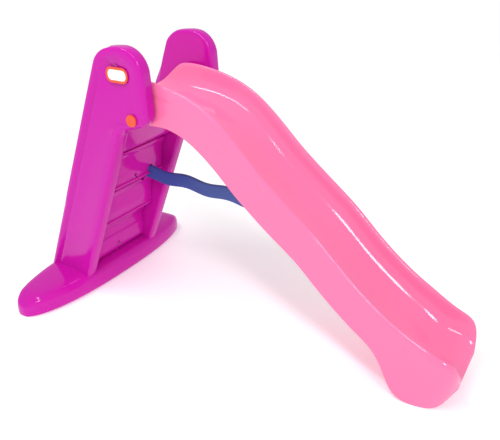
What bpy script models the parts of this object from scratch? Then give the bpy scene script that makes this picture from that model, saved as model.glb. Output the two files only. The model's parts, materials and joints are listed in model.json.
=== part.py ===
"""Toddler slide that folds: a ladder unit on a boat-shaped base, a moulded chute and a brace bar.

Metres, +Z up. +X runs from the steps towards the chute's exit, +Y is the rider's left.
The model's origin is on the ground, midway between the base's rear edge and the exit's nose.
"Design x" below is measured before that shift: the chute's and the ladder's points share it.
"""

import math

import bmesh
import bpy
from mathutils import Matrix, Vector

# ---------------------------------------------------------------- driving dimensions
WALL = 0.0028  # skin of every blow-moulded piece
TOUCH = 0.0004  # gap left between pieces that rest on each other
FIT = 0.0006  # gap round a tab, tenon or pin in its pocket

CLEAR_WIDTH = 0.336  # between the two side panels
PANEL_THICKNESS = 0.0533
PANEL_EDGE_RADIUS = 0.014
PANEL_REAR_FOOT_X = -0.1455
PANEL_FRONT_FOOT_X = 0.076
PANEL_FOOT_Z = 0.05
PANEL_LEAN = 0.4243  # rear edge: x gained for each metre of height
HEAD_REAR_Z = 1.034
HEAD_TOP = (0.462, 1.050)
HEAD_CHIN = (0.486, 0.793)
HEAD_THROAT = (0.352, 0.752)

BASE_LENGTH = 0.965  # along Y
BASE_DEPTH = 0.262  # along X
BASE_HEIGHT = 0.098
BASE_CENTRE_X = -0.026
BASE_PLAN_POWER = 2.3
BASE_SECTION_POWER = 4.5
BASE_END_DROOP = 0.22  # share of the height lost at the two ends
BASE_END_STATION = 0.996  # last section, as a share of the half length
BASE_FOOT_CHAMFER = 0.004
HEAD_RADII = (0.045, 0.085, 0.022, 0.05)  # rear top, front top, chin and throat

TENON_LENGTH = 0.120
TENON_WIDTH = 0.029
TENON_CENTRE_X = -0.025
TENON_FLOOR_Z = 0.050

FIRST_TREAD_Z = 0.25
STEP_RISE = 0.18
NOSE_INSET = 0.022  # tread nose ahead of the panels' rear edge
RISER_UNDERCUT = 0.020
RISER_FOOT = 0.016
LEDGE_OUT = 0.078  # lower lip on the chute's side, ahead of the nose
LEDGE_UP = 0.029
LOWER_STEP_SINK = 0.040  # how far the lower step's foot starts under the base's crown
LOWER_STEP_FOOT = 0.096
NOSE_RADIUS = 0.014
STEP_EDGE_RADIUS = 0.006
HEAD_RISER_RADIUS = 0.010
HEAD_RISER_SLOPE = 0.030
HEAD_RISER_TOP_Z = 0.765
TAB_LENGTH = 0.036
TAB_HEIGHT = 0.036
TAB_REACH = 0.014
TAB_AHEAD = 0.080  # tab's middle, ahead of the panels' rear edge
TAB_BELOW = 0.055  # tab's middle, under its tread
HEAD_RISER_TOP = (0.040, 0.132)  # its top, from the nose line
HEAD_RISER_FOOT = (0.031, 0.047)  # its foot on the top tread, from the nose line
HEAD_RISER_LIP = 0.089
HEAD_RISER_FRONT = 0.140

PIVOT_X = 0.411
PIVOT_Z = 0.802
PIVOT_PIN_RADIUS = 0.008
PIVOT_HEAD_RADIUS = 0.021
PIVOT_HEAD_HEIGHT = 0.009
PIVOT_HEAD_RIM = 0.003
PIVOT_PIN_CHAMFER = 0.002
PIVOT_REACH = 0.042  # pin inside the chute's side rail
CHUTE_GAP = 0.005  # chute's outer wall to each panel
WASHER_RADIUS = 0.017

RIM_RADIUS = 0.012
RAIL_WIDTH = 0.048  # underside of each side rail
RAIL_FLARE = 0.010
FULL_BED_DEPTH = 0.08  # from this depth on, the inner wall leans in fully
SHALLOW_SHARE = 0.4  # share of a shallow end's depth or height that its rounding may take
WALL_LEAN_IN = 0.031  # inner wall at the bed, measured from the outer wall
BED_FILLET = 0.042
LOWER_CORNER = 0.020
RINGS_PER_SECTION = 2

BRACE_FROM_RAIL = 0.025  # bar's middle to the left side rail
BRACE_BEHIND_LIP = 0.0071  # pivot behind the top step's lip
BRACE_ABOVE_TREAD = 0.040  # pivot above the middle tread
BRACE_HEIGHT = 0.056
BRACE_THICKNESS = 0.014
BRACE_WAVE = 0.0055
BRACE_WAVELENGTH = 0.20
BRACE_UNDER_PIN = 0.0064  # straight stretch's top edge, under the catch pin's seat
BRACE_SEAT_RUN = 0.060  # stretch that rises to that seat
BRACE_SWING_GAP = 0.003
BRACE_PIN_RADIUS = 0.004
BRACE_PIN_REACH = 0.016

CATCH_PIN = (0.880, 0.486)  # design x, z
CATCH_PIN_RADIUS = 0.005
CATCH_PLATE_LENGTH = 0.064
CATCH_PLATE = 0.003
CATCH_SIDE_GAP = 0.0035
CATCH_CHEEK_MARGIN = 0.006
CATCH_PIN_PROUD = 0.002
CATCH_SCREW_INSET = 0.010
UNDERSIDE_SAMPLES = 400
HOOK_HEIGHT = 0.012
HOOK_LENGTH = 0.016
HOOK_CHAMFER = 0.012

BADGE_CENTRE = (0.362, 0.949)
BADGE_SIZE = (0.096, 0.052)
BADGE_THICKNESS = 0.0014

SCREW_RADIUS = 0.0025
SCREW_HEAD_RADIUS = 0.006
SCREW_HEAD_HEIGHT = 0.0035
FOOT_SCREW_LENGTH = 0.050
RISER_SCREW_LENGTH = 0.085
CATCH_SCREW_LENGTH = 0.012
SCREW_POINT = 0.004
COUNTERBORE = 0.0022  # gap round a sunk screw head
COUNTERBORE_DEPTH = 0.008
VENT_RADIUS = 0.004
FOOT_SCREW_SINK = 0.016  # foot screw's seat, under the tenon pocket's floor
LIP_SCREW_UP = 0.038  # lower step's screw, above the base
LIP_SCREW_ABOVE = 0.018  # top step's screw, above its lip
THROUGH = 0.010  # how far a cutter runs past what it cuts

# The chute's sections, from its entrance to its nose. Each has the rim point, the lower edge
# point (design x, z), the bed's depth below the rim, the bed's thickness and the half width's
# loss against the chute's full half width.
CHUTE_SECTIONS = [
    ((0.226, 0.832), (0.240, 0.788), 0.006, 0.022, 0.0),
    ((0.262, 0.852), (0.266, 0.778), 0.028, 0.022, 0.0),
    ((0.318, 0.903), (0.320, 0.772), 0.080, 0.022, 0.0),
    ((0.356, 0.925), (0.358, 0.770), 0.102, 0.022, 0.0),
    ((0.430, 0.926), (0.425, 0.770), 0.104, 0.022, 0.0),
    ((0.530, 0.911), (0.497, 0.773), 0.100, 0.022, 0.0),
    ((0.620, 0.883), (0.563, 0.755), 0.095, 0.022, 0.0),
    ((0.700, 0.837), (0.622, 0.723), 0.090, 0.022, 0.0),
    ((0.786, 0.761), (0.698, 0.663), 0.088, 0.022, 0.0),
    ((0.867, 0.681), (0.777, 0.586), 0.088, 0.022, 0.0),
    ((0.984, 0.587), (0.907, 0.479), 0.088, 0.022, 0.0),
    ((1.092, 0.502), (1.010, 0.405), 0.088, 0.022, 0.0),
    ((1.190, 0.408), (1.108, 0.312), 0.088, 0.022, 0.0),
    ((1.283, 0.332), (1.212, 0.225), 0.088, 0.022, 0.0),
    ((1.360, 0.281), (1.290, 0.170), 0.090, 0.026, 0.0),
    ((1.435, 0.243), (1.335, 0.106), 0.095, 0.050, 0.0),
    ((1.490, 0.221), (1.375, 0.026), 0.108, 0.110, 0.0),
    ((1.531, 0.201), (1.430, 0.000), 0.105, 0.120, 0.002),
    ((1.556, 0.165), (1.490, 0.000), 0.074, 0.104, 0.016),
    ((1.569, 0.112), (1.536, 0.016), 0.030, 0.071, 0.040),
    ((1.573, 0.086), (1.556, 0.044), 0.008, 0.035, 0.062),
]

# ---------------------------------------------------------------- derived sizes
INNER_Y = CLEAR_WIDTH / 2
OUTER_Y = INNER_Y + PANEL_THICKNESS
CHUTE_HALF_WIDTH = INNER_Y - CHUTE_GAP
NOSE_X = CHUTE_SECTIONS[-1][0][0]
BASE_REAR_X = BASE_CENTRE_X - BASE_DEPTH / 2
SHIFT = -(NOSE_X + BASE_REAR_X) / 2
TREADS = [FIRST_TREAD_Z + STEP_RISE * i for i in range(3)]
BACK_TOP_OUT = STEP_RISE * PANEL_LEAN + RISER_UNDERCUT + RISER_FOOT  # under the next riser's foot
SIDES = {"left": 1, "right": -1}


def nose_x(z):
    """Design x of the treads' nose line, which leans with the panels."""
    return PANEL_REAR_FOOT_X + PANEL_LEAN * (z - PANEL_FOOT_Z) + NOSE_INSET


BRACE_Y = CHUTE_HALF_WIDTH - RAIL_WIDTH - BRACE_FROM_RAIL
BRACE_PIVOT = (nose_x(TREADS[2]) + LEDGE_OUT - BRACE_BEHIND_LIP, TREADS[1] + BRACE_ABOVE_TREAD)
BRACE_REACH = CATCH_PIN[0] + CATCH_PIN_RADIUS + HOOK_LENGTH - BRACE_PIVOT[0]
PIN_SEAT_Z = CATCH_PIN[1] - CATCH_PIN_RADIUS - FIT
BRACE_FALL = BRACE_PIVOT[1] - (PIN_SEAT_Z - BRACE_UNDER_PIN - BRACE_HEIGHT / 2)

# ---------------------------------------------------------------- scene and materials
for old in list(bpy.data.objects):
    bpy.data.objects.remove(old)


def material(name, colour, roughness, metallic=0.0):
    made = bpy.data.materials.new(name)
    made.use_nodes = True
    shader = made.node_tree.nodes["Principled BSDF"]
    shader.inputs["Base Color"].default_value = (*colour, 1.0)
    shader.inputs["Roughness"].default_value = roughness
    shader.inputs["Metallic"].default_value = metallic
    return made


PURPLE = material("purple_plastic", (0.63, 0.03, 0.42), 0.35)
PINK = material("pink_plastic", (0.96, 0.23, 0.46), 0.25)
BLUE = material("blue_plastic", (0.06, 0.12, 0.38), 0.4)
ORANGE = material("orange_plastic", (0.93, 0.12, 0.04), 0.35)
WHITE = material("badge_white", (0.85, 0.85, 0.83), 0.4)
STEEL = material("zinc_steel", (0.62, 0.62, 0.6), 0.3, 1.0)
NYLON = material("nylon_white", (0.8, 0.79, 0.75), 0.5)


def axis_empty(name, x, z):
    """An empty on a joint's axis, or at the origin, that its pieces hang from."""
    empty = bpy.data.objects.new(name, None)
    empty.location = (x + SHIFT, 0, z)
    empty["design"] = (x, 0.0, z)
    bpy.context.scene.collection.objects.link(empty)
    return empty


CHUTE_FRAME = axis_empty("chute_frame", 0.0, 0.0)
LADDER_AXIS = axis_empty("ladder_fold_axis", PIVOT_X, PIVOT_Z)
BRACE_AXIS = axis_empty("brace_swing_axis", *BRACE_PIVOT)


# ---------------------------------------------------------------- modelling helpers
def add(name, bm, parent, finish, smooth_angle=35):
    """Makes the object, with its mesh measured from its parent empty."""
    bmesh.ops.remove_doubles(bm, verts=bm.verts, dist=1e-6)
    bmesh.ops.recalc_face_normals(bm, faces=bm.faces)
    if bm.calc_volume(signed=True) < 0:
        bmesh.ops.reverse_faces(bm, faces=bm.faces)
    bmesh.ops.translate(bm, verts=bm.verts, vec=-Vector(parent["design"]))
    mesh = bpy.data.meshes.new(name)
    bm.to_mesh(mesh)
    bm.free()
    obj = bpy.data.objects.new(name, mesh)
    bpy.context.scene.collection.objects.link(obj)
    obj.parent = parent
    if finish is None:
        obj.hide_render = True
        obj.display_type = "WIRE"
    else:
        mesh.materials.append(finish)
        mesh.shade_smooth()
        mesh.set_sharp_from_angle(angle=math.radians(smooth_angle))
    return obj


def boolean(obj, tool, operation="DIFFERENCE"):
    modifier = obj.modifiers.new(tool.name, "BOOLEAN")
    modifier.operation = operation
    modifier.solver = "EXACT"
    modifier.object = tool


def hollow(obj):
    """Turns a closed outer form into a moulded skin that keeps its outside."""
    modifier = obj.modifiers.new("skin", "SOLIDIFY")
    modifier.thickness = WALL
    modifier.offset = -1
    modifier.use_even_offset = True
    modifier.use_quality_normals = True


def arc(centre, radius, start, end, segments):
    """Points of a circular arc; the angles are in degrees."""
    points = []
    for i in range(segments + 1):
        angle = math.radians(start + (end - start) * i / segments)
        points.append((centre[0] + radius * math.cos(angle), centre[1] + radius * math.sin(angle)))
    return points


def rounded(corners, segments=4):
    """An outline through (x, z, radius) corners, with each corner turned into an arc."""
    outline = []
    for i, (x, z, radius) in enumerate(corners):
        corner = Vector((x, z))
        if radius == 0:
            outline.append(tuple(corner))
            continue
        before = (Vector(corners[i - 1][:2]) - corner).normalized()
        after = (Vector(corners[(i + 1) % len(corners)][:2]) - corner).normalized()
        half = before.angle(after) / 2
        reach = radius / math.tan(half)
        centre = corner + (before + after).normalized() * (radius / math.sin(half))
        first = corner + before * reach - centre
        last = corner + after * reach - centre
        turn = first.angle_signed(last)
        for step in range(segments + 1):
            spoke = Matrix.Rotation(-turn * step / segments, 2) @ first
            outline.append(tuple(centre + spoke))
    return outline


def prism(outline, low_y, high_y, edge_radius=0.0, edge_segments=2):
    """An XZ outline drawn out along Y, with its end edges rounded where a radius is given."""
    bm = bmesh.new()
    face = bm.faces.new([bm.verts.new((x, low_y, z)) for x, z in outline])
    drawn = bmesh.ops.extrude_face_region(bm, geom=[face])
    top = [v for v in drawn["geom"] if isinstance(v, bmesh.types.BMVert)]
    bmesh.ops.translate(bm, verts=top, vec=(0, high_y - low_y, 0))
    if edge_radius:
        ends = [e for e in bm.edges if abs(e.verts[0].co.y - e.verts[1].co.y) < 1e-7]
        bmesh.ops.bevel(bm, geom=ends, offset=edge_radius, segments=edge_segments,
                        profile=0.5, affect="EDGES", clamp_overlap=True)
    return bm


def block(low, high):
    bm = bmesh.new()
    bmesh.ops.create_cube(bm, size=1)
    size = Vector(high) - Vector(low)
    bmesh.ops.scale(bm, verts=bm.verts, vec=size)
    bmesh.ops.translate(bm, verts=bm.verts, vec=(Vector(high) + Vector(low)) / 2)
    return bm


def turned(profile, origin, direction, segments=20):
    """A solid of revolution: profile is (radius, distance along the axis), closed on the axis."""
    bm = bmesh.new()
    turn = Vector((0, 0, 1)).rotation_difference(Vector(direction)).to_matrix()
    rings = []
    for radius, along in profile:
        if radius == 0:
            rings.append([bm.verts.new(turn @ Vector((0, 0, along)) + Vector(origin))])
            continue
        ring = []
        for i in range(segments):
            angle = 2 * math.pi * i / segments
            point = Vector((radius * math.cos(angle), radius * math.sin(angle), along))
            ring.append(bm.verts.new(turn @ point + Vector(origin)))
        rings.append(ring)
    for one, two in zip(rings, rings[1:]):
        for i in range(segments):
            corners = [one[i % len(one)], one[(i + 1) % len(one)],
                       two[(i + 1) % len(two)], two[i % len(two)]]
            bm.faces.new(list(dict.fromkeys(corners)))
    return bm


def rod(radius, length, origin, direction, segments=16):
    return turned([(0, 0), (radius, 0), (radius, length), (0, length)], origin, direction, segments)


def ring_washer(inner, outer, thickness, origin, direction, segments=20):
    """A flat ring."""
    bm = bmesh.new()
    turn = Vector((0, 0, 1)).rotation_difference(Vector(direction)).to_matrix()
    loops = []
    for radius, along in ((inner, 0), (outer, 0), (outer, thickness), (inner, thickness)):
        loops.append([bm.verts.new(turn @ Vector((radius * math.cos(2 * math.pi * i / segments),
                                                  radius * math.sin(2 * math.pi * i / segments),
                                                  along)) + Vector(origin))
                      for i in range(segments)])
    for one, two in zip(loops, loops[1:] + loops[:1]):
        for i in range(segments):
            bm.faces.new([one[i], one[(i + 1) % segments], two[(i + 1) % segments], two[i]])
    return bm


def loft(rings):
    """A closed body through rings of points, with both ends filled."""
    bm = bmesh.new()
    made = [[bm.verts.new(point) for point in ring] for ring in rings]
    for one, two in zip(made, made[1:]):
        count = len(one)
        for i in range(count):
            bm.faces.new([one[i], one[(i + 1) % count], two[(i + 1) % count], two[i]])
    bm.faces.new(made[0])
    bm.faces.new(made[-1])
    return bm


def screw(name, head, direction, length, parent):
    """A pan-head screw; head is the seat under its head, and direction points to its tip."""
    back = -Vector(direction).normalized()
    profile = [(0, SCREW_HEAD_HEIGHT), (SCREW_HEAD_RADIUS * 0.7, SCREW_HEAD_HEIGHT),
               (SCREW_HEAD_RADIUS, SCREW_HEAD_HEIGHT * 0.35), (SCREW_HEAD_RADIUS, 0),
               (SCREW_RADIUS, 0), (SCREW_RADIUS, SCREW_POINT - length), (0, -length)]
    return add(name, turned(profile, head, back, 12), parent, STEEL)


def screw_path(name, head, direction, length, parent):
    """The clearance hole along a screw's shank."""
    start = Vector(head) - Vector(direction).normalized() * SCREW_POINT
    path = rod(SCREW_RADIUS + FIT, length + 2 * SCREW_POINT, start, direction, 12)
    return add(name, path, parent, None)


# ---------------------------------------------------------------- base
def base_rings(grow=0.0, stations=15, across=9):
    """Sections of the boat-shaped base across Y; grow moves the surface outwards."""
    half_length = BASE_LENGTH / 2 + grow
    rings = []
    for i in range(stations):
        along = math.sin(math.pi / 2 * (2 * i / (stations - 1) - 1)) * BASE_END_STATION
        width = (1 - abs(along) ** BASE_PLAN_POWER) ** (1 / BASE_PLAN_POWER)
        half_depth = (BASE_DEPTH / 2) * width + grow
        height = BASE_HEIGHT * (1 - BASE_END_DROOP * along**2) * min(1, 0.35 + width) + grow
        ring = []
        for step in range(across + 1):
            angle = math.pi * step / across
            x = math.copysign(abs(math.cos(angle)) ** (2 / BASE_SECTION_POWER), math.cos(angle))
            z = abs(math.sin(angle)) ** (2 / BASE_SECTION_POWER)
            ring.append((BASE_CENTRE_X + half_depth * x, half_length * along,
                         max(height * z, BASE_FOOT_CHAMFER - grow)))
        foot = half_depth - BASE_FOOT_CHAMFER
        ring.append((BASE_CENTRE_X - foot, half_length * along, -grow))
        ring.append((BASE_CENTRE_X + foot, half_length * along, -grow))
        rings.append(ring)
    return rings


def foot_screws():
    """Seat points of the screws that hold the panels' tenons from under the base."""
    seats = {}
    for side, sign in SIDES.items():
        for place, x in (("rear", -TENON_LENGTH / 3), ("front", TENON_LENGTH / 3)):
            y = sign * (INNER_Y + PANEL_THICKNESS / 2)
            seats[f"{side}_{place}"] = (TENON_CENTRE_X + x, y, TENON_FLOOR_Z - FOOT_SCREW_SINK)
    return seats


def tenon_block(sign, gap, low_z, high_z):
    middle = sign * (INNER_Y + PANEL_THICKNESS / 2)
    reach_x = TENON_LENGTH / 2 + gap
    reach_y = TENON_WIDTH / 2 + gap
    return block((TENON_CENTRE_X - reach_x, middle - reach_y, low_z),
                 (TENON_CENTRE_X + reach_x, middle + reach_y, high_z))


base = add("base", loft(base_rings()), LADDER_AXIS, PURPLE)
for side, sign in SIDES.items():
    pocket = tenon_block(sign, FIT, TENON_FLOOR_Z, BASE_HEIGHT * 1.5)
    boolean(base, add(f"cut_base_pocket_{side}", pocket, LADDER_AXIS, None))
for place, seat in foot_screws().items():
    bore = rod(SCREW_HEAD_RADIUS + COUNTERBORE, seat[2] + THROUGH, (seat[0], seat[1], -THROUGH),
               (0, 0, 1))
    boolean(base, add(f"cut_counterbore_{place}", bore, LADDER_AXIS, None))
hollow(base)

# ---------------------------------------------------------------- side panels
HEAD_REAR_X = PANEL_REAR_FOOT_X + PANEL_LEAN * (HEAD_REAR_Z - PANEL_FOOT_Z)
PANEL_CORNERS = [
    (PANEL_REAR_FOOT_X, PANEL_FOOT_Z, 0),
    (HEAD_REAR_X, HEAD_REAR_Z, HEAD_RADII[0]),
    (*HEAD_TOP, HEAD_RADII[1]),
    (*HEAD_CHIN, HEAD_RADII[2]),
    (*HEAD_THROAT, HEAD_RADII[3]),
    (PANEL_FRONT_FOOT_X, PANEL_FOOT_Z, 0),
]


def step_tab(tread, gap):
    """Corners, in XZ, of a step's end tab; gap widens its pocket."""
    middle_x = nose_x(tread) - NOSE_INSET + TAB_AHEAD
    middle_z = tread - TAB_BELOW
    return (middle_x - TAB_LENGTH / 2 - gap, middle_z - TAB_HEIGHT / 2 - gap,
            middle_x + TAB_LENGTH / 2 + gap, middle_z + TAB_HEIGHT / 2 + gap)


def tab_block(tread, sign, gap, start):
    low_x, low_z, high_x, high_z = step_tab(tread, gap)
    ends = sorted((sign * start, sign * (INNER_Y + TAB_REACH + gap)))
    return block((low_x, ends[0], low_z), (high_x, ends[1], high_z))


TAB_LEVELS = {"lower_step": TREADS[0], "middle_step": TREADS[1], "top_step": TREADS[2],
              "head_riser": (TREADS[2] + HEAD_RISER_TOP_Z) / 2 + TAB_BELOW}

seat_block = add("cut_base_seat", loft(base_rings(grow=TOUCH, across=9)), LADDER_AXIS, None)
for side, sign in SIDES.items():
    relief = tenon_block(sign, 0.0, TENON_FLOOR_Z + TOUCH, BASE_HEIGHT * 2)
    boolean(seat_block, add(f"cut_tenon_relief_{side}", relief, LADDER_AXIS, None))

for side, sign in SIDES.items():
    faces = sorted((sign * INNER_Y, sign * OUTER_Y))
    body = prism(rounded(PANEL_CORNERS), *faces, edge_radius=PANEL_EDGE_RADIUS)
    panel = add(f"{side}_side_panel", body, LADDER_AXIS, PURPLE)
    boolean(panel, seat_block)
    bore_start = (PIVOT_X, sign * (INNER_Y - THROUGH), PIVOT_Z)
    bore = rod(PIVOT_PIN_RADIUS + FIT, PANEL_THICKNESS + 2 * THROUGH, bore_start, (0, sign, 0), 20)
    boolean(panel, add(f"cut_panel_bore_{side}", bore, LADDER_AXIS, None))
    for piece, level in TAB_LEVELS.items():
        pocket = tab_block(level, sign, FIT, INNER_Y - THROUGH)
        boolean(panel, add(f"cut_{piece}_pocket_{side}", pocket, LADDER_AXIS, None))
    hollow(panel)

for place, seat in foot_screws().items():
    path = screw_path(f"cut_foot_screw_{place}", seat, (0, 0, 1), FOOT_SCREW_LENGTH, LADDER_AXIS)
    boolean(base, path)
    boolean(bpy.data.objects[place.split("_")[0] + "_side_panel"], path)
    screw(f"foot_screw_{place}", seat, (0, 0, 1), FOOT_SCREW_LENGTH, LADDER_AXIS)


# ---------------------------------------------------------------- steps
def step_corners(tread, below):
    """Side profile of a step that stands on the tread below it and laps over its back."""
    nose = nose_x(tread)
    return [
        (nose, tread, NOSE_RADIUS),
        (nose + RISER_UNDERCUT, below + TOUCH, 0),
        (nose + RISER_UNDERCUT + RISER_FOOT, below + TOUCH, 0),
        (nose + LEDGE_OUT, below + LEDGE_UP, STEP_EDGE_RADIUS),
        (nose + BACK_TOP_OUT, tread, STEP_EDGE_RADIUS),
    ]


LOWER_NOSE = nose_x(TREADS[0])
RISER_NOSE = nose_x(HEAD_RISER_TOP_Z)
STEP_PROFILES = {
    "lower_step": [
        (LOWER_NOSE, TREADS[0], NOSE_RADIUS),
        (LOWER_NOSE + RISER_UNDERCUT, BASE_HEIGHT - LOWER_STEP_SINK, 0),
        (LOWER_NOSE + LOWER_STEP_FOOT, BASE_HEIGHT - LOWER_STEP_SINK, 0),
        (LOWER_NOSE + BACK_TOP_OUT, TREADS[0], STEP_EDGE_RADIUS),
    ],
    "middle_step": step_corners(TREADS[1], TREADS[0]),
    "top_step": step_corners(TREADS[2], TREADS[1]),
    "head_riser": [
        (RISER_NOSE + HEAD_RISER_TOP[0], HEAD_RISER_TOP_Z, HEAD_RISER_RADIUS),
        (RISER_NOSE + HEAD_RISER_FOOT[0], TREADS[2] + TOUCH, 0),
        (RISER_NOSE + HEAD_RISER_FOOT[1], TREADS[2] + TOUCH, 0),
        (RISER_NOSE + HEAD_RISER_LIP, TREADS[2] + LEDGE_UP, STEP_EDGE_RADIUS),
        (RISER_NOSE + HEAD_RISER_FRONT, HEAD_RISER_TOP_Z - HEAD_RISER_SLOPE, HEAD_RISER_RADIUS),
        (RISER_NOSE + HEAD_RISER_TOP[1], HEAD_RISER_TOP_Z, HEAD_RISER_RADIUS),
    ],
}
STEP_HALF_WIDTH = INNER_Y - TOUCH
steps = {}
for name, corners in STEP_PROFILES.items():
    body = prism(rounded(corners, 3), -STEP_HALF_WIDTH, STEP_HALF_WIDTH)
    step = add(name, body, LADDER_AXIS, PURPLE)
    for side, sign in SIDES.items():
        tab = tab_block(TAB_LEVELS[name], sign, 0.0, STEP_HALF_WIDTH - THROUGH)
        boolean(step, add(f"tab_{name}_{side}", tab, LADDER_AXIS, None), "UNION")
    steps[name] = step
boolean(steps["lower_step"], seat_block)

# The brace's pocket opens backwards and downwards through the top step's lip.
slot_half = BRACE_THICKNESS / 2 + BRACE_SWING_GAP
pocket_reach = BRACE_HEIGHT / 2 + BRACE_SWING_GAP
pocket_mouth_x = BRACE_PIVOT[0] + BACK_TOP_OUT
pocket_floor_z = TREADS[1] - THROUGH
pocket_outline = arc(BRACE_PIVOT, pocket_reach, 180, 90, 4)
pocket_outline += [(pocket_mouth_x, BRACE_PIVOT[1] + pocket_reach), (pocket_mouth_x, pocket_floor_z),
                   (BRACE_PIVOT[0] - pocket_reach - 2 * BRACE_WAVE, pocket_floor_z)]
pocket = prism(pocket_outline, BRACE_Y - slot_half, BRACE_Y + slot_half)
boolean(steps["top_step"], add("cut_brace_pocket", pocket, LADDER_AXIS, None))
pin_half = slot_half + BRACE_PIN_REACH
pin_bore = rod(BRACE_PIN_RADIUS + FIT / 2, 2 * (pin_half + FIT),
               (BRACE_PIVOT[0], BRACE_Y - pin_half - FIT, BRACE_PIVOT[1]), (0, 1, 0))
boolean(steps["top_step"], add("cut_brace_pin_bore", pin_bore, LADDER_AXIS, None))

# Screws through the chute's side of the lower step and of the top step's lip: each has its
# mouth, its direction and the piece that it bites into.
LIP_SCREWS = {
    "lower_step": ((LOWER_NOSE + (LOWER_STEP_FOOT + BACK_TOP_OUT) / 2, 0, BASE_HEIGHT + LIP_SCREW_UP),
                   (-0.5, 0, -0.866), "base"),
    "top_step": ((nose_x(TREADS[2]) + LEDGE_OUT, 0, TREADS[1] + LEDGE_UP + LIP_SCREW_ABOVE),
                 (-0.78, 0, -0.625), "middle_step"),
}
for name, (mouth, direction, below) in LIP_SCREWS.items():
    heading = Vector(direction).normalized()
    start = Vector(mouth) - heading * 3 * COUNTERBORE_DEPTH
    bore = rod(SCREW_HEAD_RADIUS + COUNTERBORE, 4 * COUNTERBORE_DEPTH, start, heading)
    boolean(steps[name], add(f"cut_{name}_counterbore", bore, LADDER_AXIS, None))
for step in steps.values():
    hollow(step)
for name, (mouth, direction, below) in LIP_SCREWS.items():
    heading = Vector(direction).normalized()
    seat = Vector(mouth) + heading * COUNTERBORE_DEPTH
    path = screw_path(f"cut_{name}_screw", seat, heading, RISER_SCREW_LENGTH, LADDER_AXIS)
    boolean(steps[name], path)
    boolean(bpy.data.objects[below], path)
    screw(f"{name}_screw", seat - heading * TOUCH, heading, RISER_SCREW_LENGTH, LADDER_AXIS)

# The head riser's skin breathes through a small hole in its foot.
vent_x = RISER_NOSE + (HEAD_RISER_FOOT[0] + HEAD_RISER_FOOT[1]) / 2
vent = rod(VENT_RADIUS, 2 * THROUGH, (vent_x, INNER_Y / 2, TREADS[2] - THROUGH), (0, 0, 1), 10)
boolean(steps["head_riser"], add("cut_head_riser_vent", vent, LADDER_AXIS, None))

# ---------------------------------------------------------------- chute
def chute_ring(rim, low, bed_depth, bed_thickness, narrowing):
    """One closed section of the chute, in the plane through Y and the low-to-rim line."""
    rim = Vector((rim[0], 0, rim[1]))
    low = Vector((low[0], 0, low[1]))
    up = (rim - low).normalized()
    height = (rim - low).length
    half = CHUTE_HALF_WIDTH - narrowing
    bed = height - bed_depth
    recess = max(bed - bed_thickness, 0.0)
    bead = min(RIM_RADIUS, bed_depth * SHALLOW_SHARE)
    fillet = min(BED_FILLET, bed_depth * SHALLOW_SHARE)
    lean = WALL_LEAN_IN * min(1, bed_depth / FULL_BED_DEPTH)
    inner = half - max(lean, 2 * bead + TOUCH)
    corner = min(LOWER_CORNER, height * SHALLOW_SHARE)
    rail = half - RAIL_WIDTH
    half_ring = [(0, bed), ((inner - fillet) / 2, bed)]
    half_ring += arc((inner - fillet, bed + fillet), fillet, -90, 0, 3)
    half_ring += arc((half - bead, height - bead), bead, 180, 0, 4)
    half_ring += arc((half - corner, corner), corner, 0, -90, 2)
    half_ring += [(rail + RAIL_FLARE, 0), (rail, recess / 2), (rail - RAIL_FLARE / 2, recess)]
    half_ring += [(0, recess)]
    mirrored = [(-y, v) for y, v in half_ring[-2:0:-1]]
    return [tuple(low + up * v + Vector((0, y, 0))) for y, v in half_ring + mirrored]


def smooth_section(place):
    """The section at a place along the chute, by Catmull-Rom through CHUTE_SECTIONS."""
    last = len(CHUTE_SECTIONS) - 1
    index = min(int(place), last - 1)
    t = place - index
    picked = [CHUTE_SECTIONS[max(0, min(last, index + k))] for k in (-1, 0, 1, 2)]
    flat = [[*rim, *low, depth, thick, narrow] for rim, low, depth, thick, narrow in picked]
    values = []
    for a, b, c, d in zip(*flat):
        values.append(0.5 * (2 * b + (c - a) * t + (2 * a - 5 * b + 4 * c - d) * t * t
                             + (3 * b - a - 3 * c + d) * t**3))
    return (values[0], values[1]), (values[2], max(values[3], 0)), *values[4:6], max(values[6], 0)


last_section = len(CHUTE_SECTIONS) - 1
ring_count = last_section * RINGS_PER_SECTION + 1
places = [i / RINGS_PER_SECTION for i in range(ring_count)]
chute = add("chute", loft([chute_ring(*smooth_section(p)) for p in places]), CHUTE_FRAME, PINK)
for side, sign in SIDES.items():
    socket = rod(PIVOT_PIN_RADIUS + FIT, PIVOT_REACH + THROUGH + FIT,
                 (PIVOT_X, sign * (CHUTE_HALF_WIDTH + THROUGH), PIVOT_Z), (0, -sign, 0), 20)
    boolean(chute, add(f"cut_chute_socket_{side}", socket, CHUTE_FRAME, None))
hollow(chute)

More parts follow.
